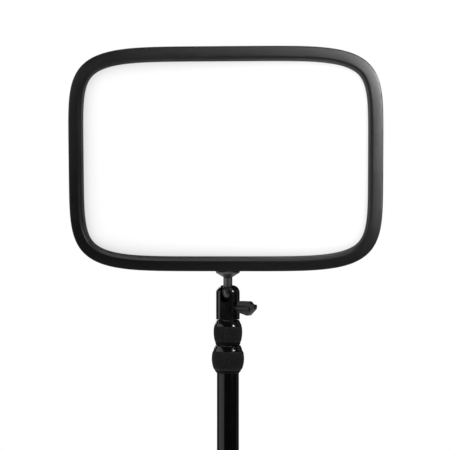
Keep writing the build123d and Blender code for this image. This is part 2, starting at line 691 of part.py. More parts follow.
# ---- desk clamp ----
def clamp_frame():
    """Cast clamp: upper jaw with the pole's boss, spine behind the desk edge, lower arm."""
    jaw_top = PAD_THICKNESS + JAW_THICKNESS
    jaw = block(-JAW_HALF_WIDTH, JAW_HALF_WIDTH, JAW_FRONT, SPINE_BACK, PAD_THICKNESS, jaw_top)
    jaw = fillet(jaw.edges().filter_by(Axis.Z), JAW_CORNER)
    boss = turned((0, jaw_top), (BOSS_FOOT_RADIUS, jaw_top), (BOSS_RADIUS, jaw_top + 5),
                  (BOSS_RADIUS, BOSS_TOP - 1), (BOSS_RADIUS - 1, BOSS_TOP), (0, BOSS_TOP))
    arm_bottom = ARM_TOP - ARM_THICKNESS
    spine_top = PAD_THICKNESS + 5
    spine = block(-SPINE_HALF_WIDTH, SPINE_HALF_WIDTH, SPINE_FRONT, SPINE_BACK, arm_bottom, spine_top)
    arm = block(-ARM_HALF_WIDTH, ARM_HALF_WIDTH, ARM_FRONT, SPINE_BACK, arm_bottom, ARM_TOP)
    arm = fillet(arm.edges().filter_by(Axis.Z).group_by(Axis.Y)[0], ARM_CORNER)
    rib_top = ARM_TOP + RIB_HEIGHT
    rib = block(-RIB_HALF_WIDTH, RIB_HALF_WIDTH, PLATE_RADIUS + 1, SPINE_FRONT, ARM_TOP, rib_top)
    frame = jaw + boss + spine + arm + rib
    frame -= rod(LOWER_TUBE_RADIUS, (0, 0, LOWER_TUBE_ENDS[0]), (0, 0, BOSS_TOP + 1))
    frame -= rod(SCREW_RADIUS + RUNNING_FIT, (0, 0, arm_bottom - 1), (0, 0, ARM_TOP + 1))
    for z in POLE_SCREW_HEIGHTS:
        frame -= rod(POLE_SCREW_RADIUS, (0, 0, z), (0, BOSS_RADIUS + 1, z))
    return frame


def upper_jaw_pad():
    pad = block(2 - JAW_HALF_WIDTH, JAW_HALF_WIDTH - 2, JAW_FRONT + 2, SPINE_FRONT - 1, 0, PAD_THICKNESS)
    return fillet(pad.edges().filter_by(Axis.Z), PAD_CORNER)


def pole_screws():
    """Two grub screws that hold the lower tube in the boss."""
    screws = []
    for z in POLE_SCREW_HEIGHTS:
        screw = rod(POLE_SCREW_RADIUS, (0, LOWER_TUBE_RADIUS, z), (0, BOSS_RADIUS - 0.5, z))
        mouth = Plane(origin=(0, BOSS_RADIUS, z), z_dir=(0, -1, 0)) * RegularPolygon(HEX_RADIUS, 6)
        screws.append(screw - extrude(mouth, amount=HEX_DEPTH))
    return group(screws)


def pressure_plate():
    under = -JAW_OPENING - PAD_THICKNESS
    bore, foot, roof = SCREW_RADIUS + RUNNING_FIT, under - PLATE_DEPTH, under - PLATE_BORE_DEPTH
    return turned((0, under), (PLATE_RADIUS, under), (PLATE_RADIUS, under - PLATE_EDGE), (10, under - 7),
                  (9, foot), (bore, foot), (bore, roof), (0, roof))


def lower_jaw_pad():
    pad = rod(PLATE_RADIUS - 1, (0, 0, -JAW_OPENING - PAD_THICKNESS), (0, 0, -JAW_OPENING))
    return fillet(pad.edges().group_by(Axis.Z)[-1], 0.8)


def clamp_screw():
    tip = -JAW_OPENING - PAD_THICKNESS - PLATE_BORE_DEPTH - 0.3
    return rod(SCREW_RADIUS, (0, 0, SCREW_FOOT), (0, 0, tip)) - knob_pin()


def clamp_knob():
    """Six-lobed hand knob on the foot of the screw."""
    foot = KNOB_TOP - KNOB_HEIGHT
    body = rod(KNOB_RADIUS, (0, 0, foot), (0, 0, KNOB_TOP))
    for i in range(LOBE_COUNT):
        angle = 2 * pi * (i + 0.5) / LOBE_COUNT
        x, y = (KNOB_RADIUS + 4) * cos(angle), (KNOB_RADIUS + 4) * sin(angle)
        body -= rod(LOBE_RADIUS, (x, y, foot - 1), (x, y, KNOB_TOP + 1))
    ends = body.edges().group_by(Axis.Z)
    body = fillet(list(ends[0]) + list(ends[-1]), 1.5)
    body += ring(COLLAR_RADIUS, SCREW_RADIUS, KNOB_TOP, KNOB_TOP + COLLAR_HEIGHT)
    body -= rod(SCREW_RADIUS, (0, 0, SCREW_FOOT), (0, 0, KNOB_TOP + COLLAR_HEIGHT + 1))
    return body - knob_pin()


def knob_pin():
    return rod(PIN_RADIUS, (-PIN_HALF_LENGTH, 0, PIN_Z), (PIN_HALF_LENGTH, 0, PIN_Z))


# ---- every piece in its place ----
PANEL_PIECES = [
    front_bezel, trim_ring, diffuser_panel, diffusion_film, foam_gasket, light_guide_plate, reflector_sheet,
    light_tray, led_strips, led_packages, cover_posts, rear_cover, cover_screws, board_standoffs,
    control_board, board_screws, board_parts, button_switches, dc_inlet, power_button, reset_button,
    led_leads, mount_block, mount_block_screws,
]
STEM_PIECES = [ball_stud, lock_disc]
POLE_PIECES = [
    ball_socket, ball_seat, clamp_bolt, bolt_washer, wing_knob, tube_top_plug, socket_screw,
    upper_tube, middle_tube, lower_tube, upper_guide_bush, lower_guide_bush, upper_split_sleeve,
    lower_split_sleeve, upper_lock_base, lower_lock_base, upper_lock_nut, upper_lock_grip,
    lower_lock_nut, lower_lock_grip,
    clamp_frame, upper_jaw_pad, pole_screws, pressure_plate, lower_jaw_pad, clamp_screw,
    clamp_knob, knob_pin,
]


def write_parts():
    os.makedirs("parts", exist_ok=True)
    frames = [(PANEL_FRAME, PANEL_PIECES), (STEM_FRAME, STEM_PIECES), (Pos(0, 0, 0), POLE_PIECES)]
    for frame, pieces in frames:
        for piece in pieces:
            export_step(frame * piece(), f"parts/{piece.__name__}.step")


write_parts()
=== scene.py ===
import json
import math

import bmesh
import bpy
from mathutils import Matrix, Vector

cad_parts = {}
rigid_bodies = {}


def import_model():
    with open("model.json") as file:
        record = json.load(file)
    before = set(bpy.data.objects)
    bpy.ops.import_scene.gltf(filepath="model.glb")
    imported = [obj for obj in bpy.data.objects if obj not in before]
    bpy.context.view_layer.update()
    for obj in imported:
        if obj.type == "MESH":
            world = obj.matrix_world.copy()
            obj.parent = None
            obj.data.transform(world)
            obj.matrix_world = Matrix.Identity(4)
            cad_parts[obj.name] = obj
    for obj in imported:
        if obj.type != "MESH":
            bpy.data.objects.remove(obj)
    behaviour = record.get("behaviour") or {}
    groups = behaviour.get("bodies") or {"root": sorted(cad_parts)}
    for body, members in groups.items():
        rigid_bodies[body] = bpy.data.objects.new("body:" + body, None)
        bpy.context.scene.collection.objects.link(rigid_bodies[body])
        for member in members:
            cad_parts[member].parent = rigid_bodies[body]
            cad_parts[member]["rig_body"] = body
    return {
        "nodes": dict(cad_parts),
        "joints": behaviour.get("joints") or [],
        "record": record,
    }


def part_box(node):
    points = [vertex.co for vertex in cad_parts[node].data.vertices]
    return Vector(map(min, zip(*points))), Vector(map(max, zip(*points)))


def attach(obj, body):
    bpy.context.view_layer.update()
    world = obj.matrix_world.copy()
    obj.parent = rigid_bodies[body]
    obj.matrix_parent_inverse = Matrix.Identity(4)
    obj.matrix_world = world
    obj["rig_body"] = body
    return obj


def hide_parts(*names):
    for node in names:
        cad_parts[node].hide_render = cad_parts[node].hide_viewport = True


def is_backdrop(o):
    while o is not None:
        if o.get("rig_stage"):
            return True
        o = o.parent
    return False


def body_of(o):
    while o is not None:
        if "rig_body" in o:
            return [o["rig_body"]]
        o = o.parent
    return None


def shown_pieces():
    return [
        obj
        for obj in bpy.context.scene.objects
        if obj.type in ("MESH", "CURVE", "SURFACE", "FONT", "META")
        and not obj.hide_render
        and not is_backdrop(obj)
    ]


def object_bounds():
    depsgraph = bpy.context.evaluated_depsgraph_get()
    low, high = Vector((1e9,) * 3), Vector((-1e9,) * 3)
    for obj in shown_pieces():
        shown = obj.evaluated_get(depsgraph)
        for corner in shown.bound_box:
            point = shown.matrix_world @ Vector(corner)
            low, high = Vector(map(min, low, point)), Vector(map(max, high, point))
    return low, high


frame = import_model()
cad_low, cad_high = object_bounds()

NODES = frame["nodes"]
JOINTS = {joint["name"]: joint for joint in frame["joints"]}
MM = 0.001

# ---- places and sizes read from the frame ----
BALL = Vector(JOINTS["ball_tilt"]["pos_m"])
STEM = Vector(JOINTS["panel_turn"]["axis"]).normalized()
LEAN = math.atan2(-STEM.y, STEM.z)
DIFFUSER_LOW, DIFFUSER_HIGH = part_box("diffuser_panel")

# ---- panel section, in metres, measured inwards from the outline and back from its middle ----
HALF_WIDTH, HALF_HEIGHT, OUTLINE_POWER = 175 * MM, 125 * MM, 5.25
FRONT_Y, SEAM_Y = -15 * MM, 8 * MM
WALL, EDGE_ROUND, FACE_INSET = 2.2 * MM, 1.8 * MM, 11.5 * MM
FACE_SLOPE, FACE_BULGE = 1.3 / 10.5, 0.12 * MM
BEVEL_INSET, BEVEL_DEPTH, WINDOW_INSET = 14.2 * MM, 2.7 * MM, 16.8 * MM
TRIM_Y = FRONT_Y + BEVEL_DEPTH
DIFFUSER_Y = TRIM_Y + 1.0 * MM
DIFFUSER_MIDDLE = DIFFUSER_Y + 1.0 * MM
PANEL_TURN = Matrix.Rotation(LEAN, 4, "X")
PANEL_CENTRE = (DIFFUSER_LOW + DIFFUSER_HIGH) / 2 - PANEL_TURN @ Vector((0, DIFFUSER_MIDDLE, 0))
PANEL = Matrix.Translation(PANEL_CENTRE) @ PANEL_TURN


# ---- camera: a little above the ball head and to its right, with a long portrait lens ----
def make_camera():
    data = bpy.data.cameras.new("camera")
    data.sensor_width = 36.0
    data.lens = 106.4
    data.clip_start, data.clip_end = 0.05, 60.0
    camera = bpy.data.objects.new("camera", data)
    camera.location = (0.0645, -1.5, BALL.z + 0.0482)
    camera.rotation_euler = (math.radians(91.08), 0, math.radians(2.588))
    bpy.context.scene.collection.objects.link(camera)
    bpy.context.scene.camera = camera


make_camera()


# ---- mesh helpers ----
def link(name, mesh, smooth=35):
    """A linked object whose faces are smooth except over sharp edges."""
    mesh.polygons.foreach_set("use_smooth", [True] * len(mesh.polygons))
    mesh.set_sharp_from_angle(angle=math.radians(smooth))
    piece = bpy.data.objects.new(name, mesh)
    bpy.context.scene.collection.objects.link(piece)
    return piece


def mesh_from(name, points, faces, merge=True):
    """A mesh whose faces all look outwards. Points in the same place become one if merge is set."""
    mesh = bpy.data.meshes.new(name)
    mesh.from_pydata([tuple(p) for p in points], [], faces)
    tidy = bmesh.new()
    tidy.from_mesh(mesh)
    if merge:
        bmesh.ops.remove_doubles(tidy, verts=tidy.verts, dist=1e-7)
    bmesh.ops.recalc_face_normals(tidy, faces=tidy.faces)
    tidy.to_mesh(mesh)
    tidy.free()
    return mesh


def from_lists(name, points, faces, smooth=35):
    return link(name, mesh_from(name, points, faces), smooth)


def prism(name, points):
    """A closed prism, from the points of one end's outline and then those of the other end's."""
    count = len(points) // 2
    faces = [list(range(count)), list(range(2 * count - 1, count - 1, -1))]
    faces += [(k, (k + 1) % count, count + (k + 1) % count, count + k) for k in range(count)]
    return from_lists(name, points, faces)


def swept_loop(name, stations, rings, place, closed_section=True, smooth=35):
    """Quads between rings of points; place(station, ring) gives each point. Both ways can close."""
    points = [place(i, j) for j in range(rings) for i in range(stations)]
    faces = []
    for j in range(rings if closed_section else rings - 1):
        for i in range(stations):
            a, b = (i, j), ((i + 1) % stations, j)
            c, d = ((i + 1) % stations, (j + 1) % rings), (i, (j + 1) % rings)
            faces.append([q[1] * stations + q[0] for q in (a, b, c, d)])
    return from_lists(name, points, faces, smooth)


def lathe(name, section, segments=128, matrix=None, smooth=35):
    """A closed section of (radius, height) points turned about Z."""
    turn = matrix or Matrix.Identity(4)

    def place(i, j):
        angle = 2 * math.pi * i / segments
        radius, height = section[j]
        return turn @ Vector((radius * math.cos(angle), radius * math.sin(angle), height))
    return swept_loop(name, segments, len(section), place, smooth=smooth)


def bend(start, knee, end, steps):
    """Points of a curve from start to end that is drawn towards the knee."""
    start, knee, end = Vector(start), Vector(knee), Vector(end)
    curve = []
    for step in range(steps + 1):
        t = step / steps
        q = start * (1 - t) ** 2 + knee * 2 * t * (1 - t) + end * t * t
        curve.append((q.x, q.y))
    return curve


def rounded(section, radius, steps=4):
    """The same closed section with its corners rounded off, each by at most the given radius."""
    out = []
    count = len(section)
    for k in range(count):
        p = Vector(section[k])
        to_last, to_next = Vector(section[k - 1]) - p, Vector(section[(k + 1) % count]) - p
        reach = min(radius, to_last.length * 0.45, to_next.length * 0.45)
        out += bend(p + to_last.normalized() * reach, p, p + to_next.normalized() * reach, steps)
    return out


def arc_through(start, middle, end, count):
    """Points on the circle through three (radius, height) points."""
    (ax, ay), (bx, by), (cx, cy) = start, middle, end
    d = 2 * (ax * (by - cy) + bx * (cy - ay) + cx * (ay - by))
    a2, b2, c2 = ax * ax + ay * ay, bx * bx + by * by, cx * cx + cy * cy
    ox = (a2 * (by - cy) + b2 * (cy - ay) + c2 * (ay - by)) / d
    oy = (a2 * (cx - bx) + b2 * (ax - cx) + c2 * (bx - ax)) / d
    radius = math.hypot(ax - ox, ay - oy)
    first, last = math.atan2(ay - oy, ax - ox), math.atan2(cy - oy, cx - ox)
    angles = [first + (last - first) * k / (count - 1) for k in range(count)]
    return [(ox + radius * math.cos(t), oy + radius * math.sin(t)) for t in angles]


def outline_point(angle, inset, y):
    """A point of the panel's superellipse outline, moved inwards along its normal."""
    c, s = math.cos(angle), math.sin(angle)
    power = OUTLINE_POWER
    reach = (abs(c / HALF_WIDTH) ** power + abs(s / HALF_HEIGHT) ** power) ** (-1 / power)
    x, z = reach * c, reach * s
    nx = math.copysign(abs(x / HALF_WIDTH) ** (power - 1) / HALF_WIDTH, x)
    nz = math.copysign(abs(z / HALF_HEIGHT) ** (power - 1) / HALF_HEIGHT, z)
    size = math.hypot(nx, nz)
    return Vector((x - inset * nx / size, y, z - inset * nz / size))


def modified(piece):
    """Applies the piece's modifiers."""
    graph = bpy.context.evaluated_depsgraph_get()
    mesh = bpy.data.meshes.new_from_object(piece.evaluated_get(graph))
    piece.modifiers.clear()
    piece.data = mesh
    return piece


def combine(piece, other, operation):
    """Joins to or cuts from a piece another one, which is then gone."""
    step = piece.modifiers.new("combine", "BOOLEAN")
    step.object, step.operation, step.solver = other, operation, "EXACT"
    modified(piece)
    bpy.data.objects.remove(other)
    return piece


def soften(piece, width, segments=3, angle=30):
    """Rounds a piece's sharp edges and shades the result smoothly."""
    step = piece.modifiers.new("edges", "BEVEL")
    step.width, step.segments, step.limit_method = width, segments, "ANGLE"
    step.angle_limit = math.radians(angle)
    step.harden_normals = True
    step.miter_outer = "MITER_ARC"
    return modified(piece)


def box_mesh(name, low, high, matrix=None):
    turn = matrix or Matrix.Identity(4)
    corners = [(x, y, z) for x in (low[0], high[0]) for y in (low[1], high[1]) for z in (low[2], high[2])]
    faces = [(0, 1, 3, 2), (4, 6, 7, 5), (0, 4, 5, 1), (2, 3, 7, 6), (0, 2, 6, 4), (1, 5, 7, 3)]
    return from_lists(name, [turn @ Vector(c) for c in corners], faces)


def rod_mesh(name, radius, start, end, matrix=None, segments=64):
    turn = matrix or Matrix.Identity(4)
    start, end = Vector(start), Vector(end)
    axis = (end - start).to_track_quat("Z", "Y").to_matrix().to_4x4()
    place = turn @ Matrix.Translation(start) @ axis
    length = (end - start).length
    return lathe(name, [(1e-6, 0), (radius, 0), (radius, length), (1e-6, length)], segments, place)


# ---- materials: every one has fine relief from its nodes, and most an uneven gloss too ----
class Finish:
    """A Principled material with the socket shortcuts that the finishes below share."""

    def __init__(self, name, colour, roughness, metallic=0.0, specular=0.5, coat=0.0):
        self.material = bpy.data.materials.new(name)
        self.material.use_nodes = True
        self.tree = self.material.node_tree
        self.shader = self.tree.nodes["Principled BSDF"]
        self.set("Base Color", (*colour, 1.0))
        self.set("Roughness", roughness)
        self.set("Metallic", metallic)
        self.set("Specular IOR Level", specular)
        self.set("Coat Weight", coat)
        self.where = self.node("ShaderNodeTexCoord").outputs["Object"]

    def set(self, socket, value):
        self.shader.inputs[socket].default_value = value

    def node(self, kind, **settings):
        made = self.tree.nodes.new(kind)
        for key, value in settings.items():
            setattr(made, key, value)
        return made

    def link(self, output, target):
        self.tree.links.new(output, target)

    def stretched(self, scale):
        """Object coordinates stretched by a different amount each way."""
        mapping = self.node("ShaderNodeMapping")
        mapping.inputs["Scale"].default_value = scale
        self.link(self.where, mapping.inputs["Vector"])
        return mapping.outputs["Vector"]

    def noise(self, scale, detail=3.0, where=None):
        noise = self.node("ShaderNodeTexNoise")
        noise.inputs["Scale"].default_value = scale
        noise.inputs["Detail"].default_value = detail
        self.link(where or self.where, noise.inputs["Vector"])
        return noise.outputs["Fac"]

    def ranged(self, value, low, high):
        """A 0 to 1 value spread between two numbers."""
        spread = self.node("ShaderNodeMapRange")
        spread.inputs["From Min"].default_value = 0.3
        spread.inputs["From Max"].default_value = 0.7
        spread.inputs["To Min"].default_value = low
        spread.inputs["To Max"].default_value = high
        self.link(value, spread.inputs["Value"])
        return spread.outputs["Result"]

    def tint(self, value, dark, light):
        """Base colour that wanders between two colours."""
        mix = self.node("ShaderNodeMix", data_type="RGBA")
        mix.inputs["A"].default_value = (*dark, 1.0)
        mix.inputs["B"].default_value = (*light, 1.0)
        self.link(self.ranged(value, 0.0, 1.0), mix.inputs["Factor"])
        self.link(mix.outputs["Result"], self.shader.inputs["Base Color"])

    def rough(self, value, low, high):
        self.link(self.ranged(value, low, high), self.shader.inputs["Roughness"])

    def relief(self, value, strength, depth):
        bump = self.node("ShaderNodeBump")
        bump.inputs["Strength"].default_value = strength
        bump.inputs["Distance"].default_value = depth
        self.link(value, bump.inputs["Height"])
        self.link(bump.outputs["Normal"], self.shader.inputs["Normal"])


def shade(colour, amount):
    return tuple(channel * amount for channel in colour)


def moulded(name, colour, roughness=0.42, grain=1800.0, strength=0.12, specular=0.5):
    """Moulded plastic with a fine spark-eroded grain and slightly uneven gloss."""
    finish = Finish(name, colour, roughness, specular=specular)
    finish.tint(finish.noise(22.0), shade(colour, 0.85), shade(colour, 1.18))
    finish.rough(finish.noise(60.0, 5.0), roughness - 0.04, roughness + 0.04)
    finish.relief(finish.noise(grain, 2.0), strength, 0.00006)
    return finish.material


def gloss_paint(name, colour, roughness=0.16, coat=0.4):
    """Glossy black coat with a little orange peel and faint handling haze."""
    finish = Finish(name, colour, roughness, specular=0.55, coat=coat)
    finish.set("Coat Roughness", 0.08)
    finish.tint(finish.noise(90.0), shade(colour, 0.8), shade(colour, 1.3))
    finish.rough(finish.noise(140.0, 6.0), roughness - 0.03, roughness + 0.07)
    finish.relief(finish.noise(520.0, 1.0), 0.05, 0.00004)
    return finish.material


def matt_coat(name, colour):
    """Dull black for the undersides of the locks, which would otherwise mirror the floor."""
    finish = Finish(name, colour, 0.62, specular=0.12)
    finish.tint(finish.noise(120.0), shade(colour, 0.8), shade(colour, 1.3))
    finish.relief(finish.noise(600.0, 1.0), 0.05, 0.00004)
    return finish.material


def drawn_tube(name, colour, roughness=0.3):
    """Anodised tube with fine draw lines along its length."""
    finish = Finish(name, colour, roughness, specular=0.5)
    lines = finish.noise(900.0, 3.0, finish.stretched((1.0, 1.0, 0.01)))
    finish.tint(lines, shade(colour, 0.8), shade(colour, 1.3))
    finish.rough(finish.noise(35.0, 4.0), roughness - 0.04, roughness + 0.06)
    finish.relief(lines, 0.06, 0.00004)
    return finish.material


def rubber(name, colour, roughness=0.62):
    finish = Finish(name, colour, roughness, specular=0.35)
    finish.tint(finish.noise(70.0, 5.0), shade(colour, 0.75), shade(colour, 1.35))
    finish.rough(finish.noise(200.0), roughness - 0.08, roughness + 0.08)
    finish.relief(finish.noise(2600.0, 2.0), 0.2, 0.00006)
    return finish.material


def metal(name, colour, roughness=0.3, stretch=(1.0, 1.0, 0.05)):
    """Bare or plated metal with turning or rolling marks."""
    finish = Finish(name, colour, roughness, metallic=1.0)
    lines = finish.noise(1500.0, 4.0, finish.stretched(stretch))
    finish.tint(finish.noise(45.0, 4.0), shade(colour, 0.88), shade(colour, 1.08))
    finish.rough(lines, roughness - 0.06, roughness + 0.1)
    finish.relief(lines, 0.08, 0.00003)
    return finish.material


def powder_coat(name, colour, roughness=0.5):
    """Powder-coated casting: a fine pebbled skin."""
    finish = Finish(name, colour, roughness, specular=0.45)
    finish.tint(finish.noise(40.0, 4.0), shade(colour, 0.8), shade(colour, 1.25))
    finish.rough(finish.noise(260.0), roughness - 0.06, roughness + 0.06)
    finish.relief(finish.noise(1100.0, 3.0), 0.25, 0.0001)
    return finish.material


def board_lacquer(name, colour):
    """Circuit board lacquer over faint copper tracks."""
    finish = Finish(name, colour, 0.35, specular=0.5)
    cells = finish.node("ShaderNodeTexVoronoi", feature="DISTANCE_TO_EDGE")
    cells.inputs["Scale"].default_value = 260.0
    finish.link(finish.where, cells.inputs["Vector"])
    finish.tint(cells.outputs["Distance"], shade(colour, 1.5), colour)
    finish.relief(cells.outputs["Distance"], 0.15, 0.00005)
    return finish.material


def clear_sheet(name):
    """Clear acrylic with the etched dots of a light guide."""
    finish = Finish(name, (0.93, 0.97, 0.97), 0.12, specular=0.5)
    finish.set("Transmission Weight", 0.6)
    dots = finish.node("ShaderNodeTexVoronoi")
    dots.inputs["Scale"].default_value = 400.0
    finish.link(finish.where, dots.inputs["Vector"])
    finish.relief(dots.outputs["Distance"], 0.2, 0.00005)
    finish.rough(finish.noise(80.0), 0.08, 0.2)
    return finish.material


def glowing_opal(name):
    """Opal sheet lit from behind, a little dimmer along its edges, read from the mesh's glow value."""
    finish = Finish(name, (0.1, 0.1, 0.1), 0.4, specular=0.1)
    glow = finish.node("ShaderNodeAttribute", attribute_name="glow")
    cloud = finish.node("ShaderNodeMath", operation="MULTIPLY")
    finish.link(glow.outputs["Fac"], cloud.inputs[0])
    finish.link(finish.ranged(finish.noise(9.0, 2.0), 0.995, 1.005), cloud.inputs[1])
    finish.link(cloud.outputs["Value"], finish.shader.inputs["Emission Strength"])
    finish.set("Emission Color", (1.0, 1.0, 1.0, 1.0))
    finish.relief(finish.noise(900.0, 2.0), 0.05, 0.00003)
    return finish.material


BLACK = (0.0025, 0.0025, 0.0027)
FINISHES = {
    "bezel_black": moulded("satin_bezel", (0.003, 0.003, 0.0032), 0.34, 2200.0, 0.04, 0.28),
    "trim_black": moulded("satin_trim", (0.014, 0.014, 0.015), 0.45, 2400.0, 0.08),
    "cover_black": moulded("satin_cover", (0.014, 0.014, 0.015), 0.46, 1500.0, 0.22),
    "opal_diffuser": glowing_opal("glowing_opal"),
    "film_white": moulded("frosted_film", (0.85, 0.85, 0.85), 0.5, 900.0, 0.1),
    "foam_grey": rubber("grey_foam", (0.1, 0.1, 0.105), 0.85),
    "clear_acrylic": clear_sheet("clear_guide"),
    "reflector_white": moulded("white_reflector", (0.85, 0.85, 0.85), 0.3, 700.0, 0.05),
    "tray_aluminium": metal("mill_aluminium", (0.7, 0.71, 0.72), 0.35, (0.05, 1.0, 1.0)),
    "board_green": board_lacquer("green_board", (0.02, 0.11, 0.05)),
    "strip_white": moulded("white_strip", (0.8, 0.8, 0.78), 0.4),
    "led_yellow": moulded("phosphor_cap", (0.85, 0.62, 0.12), 0.3),
    "part_black": moulded("black_component", (0.03, 0.03, 0.03), 0.4),
    "switch_grey": moulded("grey_switch", (0.3, 0.3, 0.31), 0.4),
    "inlet_black": gloss_paint("black_inlet", BLACK, 0.22),
    "button_grey": moulded("button_satin", (0.05, 0.05, 0.052), 0.38, 2600.0, 0.1),
    "screw_black": metal("blackened_steel", (0.05, 0.05, 0.052), 0.32),
    "screw_steel": metal("zinc_steel", (0.56, 0.57, 0.58), 0.28),
    "lead_red": rubber("red_lead", (0.25, 0.02, 0.02), 0.5),
    "block_aluminium": metal("machined_aluminium", (0.62, 0.63, 0.64), 0.26),
    "stud_dark": metal("dark_stud", (0.19, 0.19, 0.195), 0.42),
    "disc_dark": metal("dark_disc", (0.20, 0.20, 0.205), 0.34),
    "seat_nylon": moulded("nylon_seat", (0.012, 0.012, 0.012), 0.5),
    "socket_black": gloss_paint("black_socket", BLACK, 0.2, 0.3),
    "knob_black": moulded("black_knob", (0.008, 0.008, 0.0085), 0.38, 1400.0, 0.04),
    "tube_black": drawn_tube("black_tube", (0.002, 0.002, 0.0021), 0.17),
    "nut_black": gloss_paint("black_nut", BLACK, 0.16, 0.4),
    "grip_rubber": rubber("ribbed_rubber", (0.006, 0.006, 0.0065)),
    "bush_white": moulded("acetal_bush", (0.75, 0.75, 0.73), 0.45),
    "clamp_black": powder_coat("black_powder", (0.016, 0.016, 0.017)),
    "pad_rubber": rubber("pad_rubber", (0.03, 0.03, 0.031), 0.75),
    "clamp_knob_black": moulded("knob_plastic", (0.02, 0.02, 0.021), 0.45, 1500.0, 0.2),
}
FLANGE_FINISH = matt_coat("matt_flange", BLACK)
SLOT_OF = {row["node"]: row["material_slot"] for row in frame["record"]["subparts"]}


def paint(piece, slot_name):
    piece.data.materials.clear()
    piece.data.materials.append(FINISHES[slot_name])


def stand_for(piece, *nodes):
    """The piece takes the finish of the first CAD node's material slot and that node's body; the nodes that
    it replaces are hidden.
    """
    slot_name = SLOT_OF[nodes[0]]
    paint(piece, slot_name)
    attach(piece, NODES[nodes[0]]["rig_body"])
    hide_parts(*nodes)
    return piece


def finish_cad_nodes():
    """Every CAD node gets its finish and smooth shading over its curved faces."""
    for name, piece in NODES.items():
        paint(piece, SLOT_OF[name])
        piece.data.polygons.foreach_set("material_index", [0] * len(piece.data.polygons))
        piece.data.polygons.foreach_set("use_smooth", [True] * len(piece.data.polygons))
        piece.data.set_sharp_from_angle(angle=math.radians(28))


finish_cad_nodes()

# Width in mm of the rounding on the edges of each CAD node that is shown as it is.
EDGE_WIDTHS = {
    "rear_cover": 0.35, "clamp_frame": 1.0, "upper_jaw_pad": 0.7, "lower_jaw_pad": 0.4,
    "pressure_plate": 0.5, "clamp_knob": 0.5, "power_button": 0.2, "reset_button": 0.15,
    "dc_inlet": 0.2, "cover_screws": 0.12, "mount_block": 0.3, "control_board": 0.12,
    "board_parts": 0.2, "bolt_washer": 0.12, "clamp_bolt": 0.15, "pole_screws": 0.12,
    "knob_pin": 0.2, "button_switches": 0.12, "cover_posts": 0.15, "board_screws": 0.12,
    "light_tray": 0.15, "tube_top_plug": 0.2, "socket_screw": 0.15, "upper_guide_bush": 0.2,
    "lower_guide_bush": 0.2, "upper_split_sleeve": 0.15, "lower_split_sleeve": 0.15, "ball_seat": 0.2,
}


def round_cad_edges():
    """Rounds the sharp edges of the nodes above by a modifier, which leaves their own meshes alone."""
    for name, width in EDGE_WIDTHS.items():
        step = NODES[name].modifiers.new("edges", "BEVEL")
        step.width, step.segments, step.limit_method = width * MM, 2, "ANGLE"
        step.angle_limit = math.radians(32)
        step.harden_normals = True


round_cad_edges()


# ---- panel ----
def panel_band(name, section, stations=480, closed=True, smooth=25):
    """A band round the panel from (inset, depth) points."""
    def place(i, j):
        inset, depth = section[j]
        return PANEL @ outline_point(2 * math.pi * (i + 0.5) / stations, inset, depth)
    return swept_loop(name, stations, len(section), place, closed, smooth)


def face_depth(inset):
    """Depth of the bezel's face, which falls away towards its outer edge with a slight bulge."""
    across = min(1.0, inset / FACE_INSET)
    return FRONT_Y + (FACE_INSET - inset) * FACE_SLOPE - FACE_BULGE * math.sin(math.pi * across)


def make_bezel():
    """Front bezel: rounded outer corner, sloping face, soft-edged bevel down to the trim ring."""
    skin, soft, gap, seam_edge = 1.6 * MM, 0.45 * MM, 0.02 * MM, 0.25 * MM
    corner = bend((0, FRONT_Y + 3.0 * MM), (0, face_depth(0)), (EDGE_ROUND, face_depth(EDGE_ROUND)), 12)
    run = Vector((BEVEL_INSET - FACE_INSET, BEVEL_DEPTH)).normalized()
    insets = [EDGE_ROUND + (FACE_INSET - soft - EDGE_ROUND) * k / 8 for k in range(1, 9)]
    face = [(inset, face_depth(inset)) for inset in insets]
    face_end = [(FACE_INSET - soft * 0.35, FRONT_Y + soft * 0.06),
                (FACE_INSET + run.x * soft * 0.35, FRONT_Y + run.y * soft * 0.5),
                (FACE_INSET + run.x * soft, FRONT_Y + run.y * soft)]
    bevel_end = [(BEVEL_INSET - 0.1 * MM, TRIM_Y - 0.1 * MM), (BEVEL_INSET, TRIM_Y)]
    back = [(BEVEL_INSET, TRIM_Y + gap), (WALL + skin, TRIM_Y + gap), (WALL, TRIM_Y + skin),
            (WALL, SEAM_Y - gap), (seam_edge, SEAM_Y - gap), (0, SEAM_Y - gap - seam_edge)]
    return stand_for(panel_band("bezel_shell", corner + face + face_end + bevel_end + back), "front_bezel")


def make_trim():
    """Flat ring behind the bezel's bevel, with a softly turned lip round the window."""
    lip, gap, outer = 0.2 * MM, 0.02 * MM, WALL + MM
    section = [(outer, TRIM_Y + gap), (WINDOW_INSET - lip, TRIM_Y + gap),
               (WINDOW_INSET - lip * 0.3, TRIM_Y + lip * 0.4), (WINDOW_INSET, TRIM_Y + lip),
               (WINDOW_INSET, DIFFUSER_Y), (outer, DIFFUSER_Y)]
    return stand_for(panel_band("window_trim", section), "trim_ring")


# How bright the sheet is at the window's edge and in its middle, and how fast one fades to the other.
EDGE_FALL = 9 * MM
EDGE_GLOW, FACE_GLOW = 0.62, 0.93


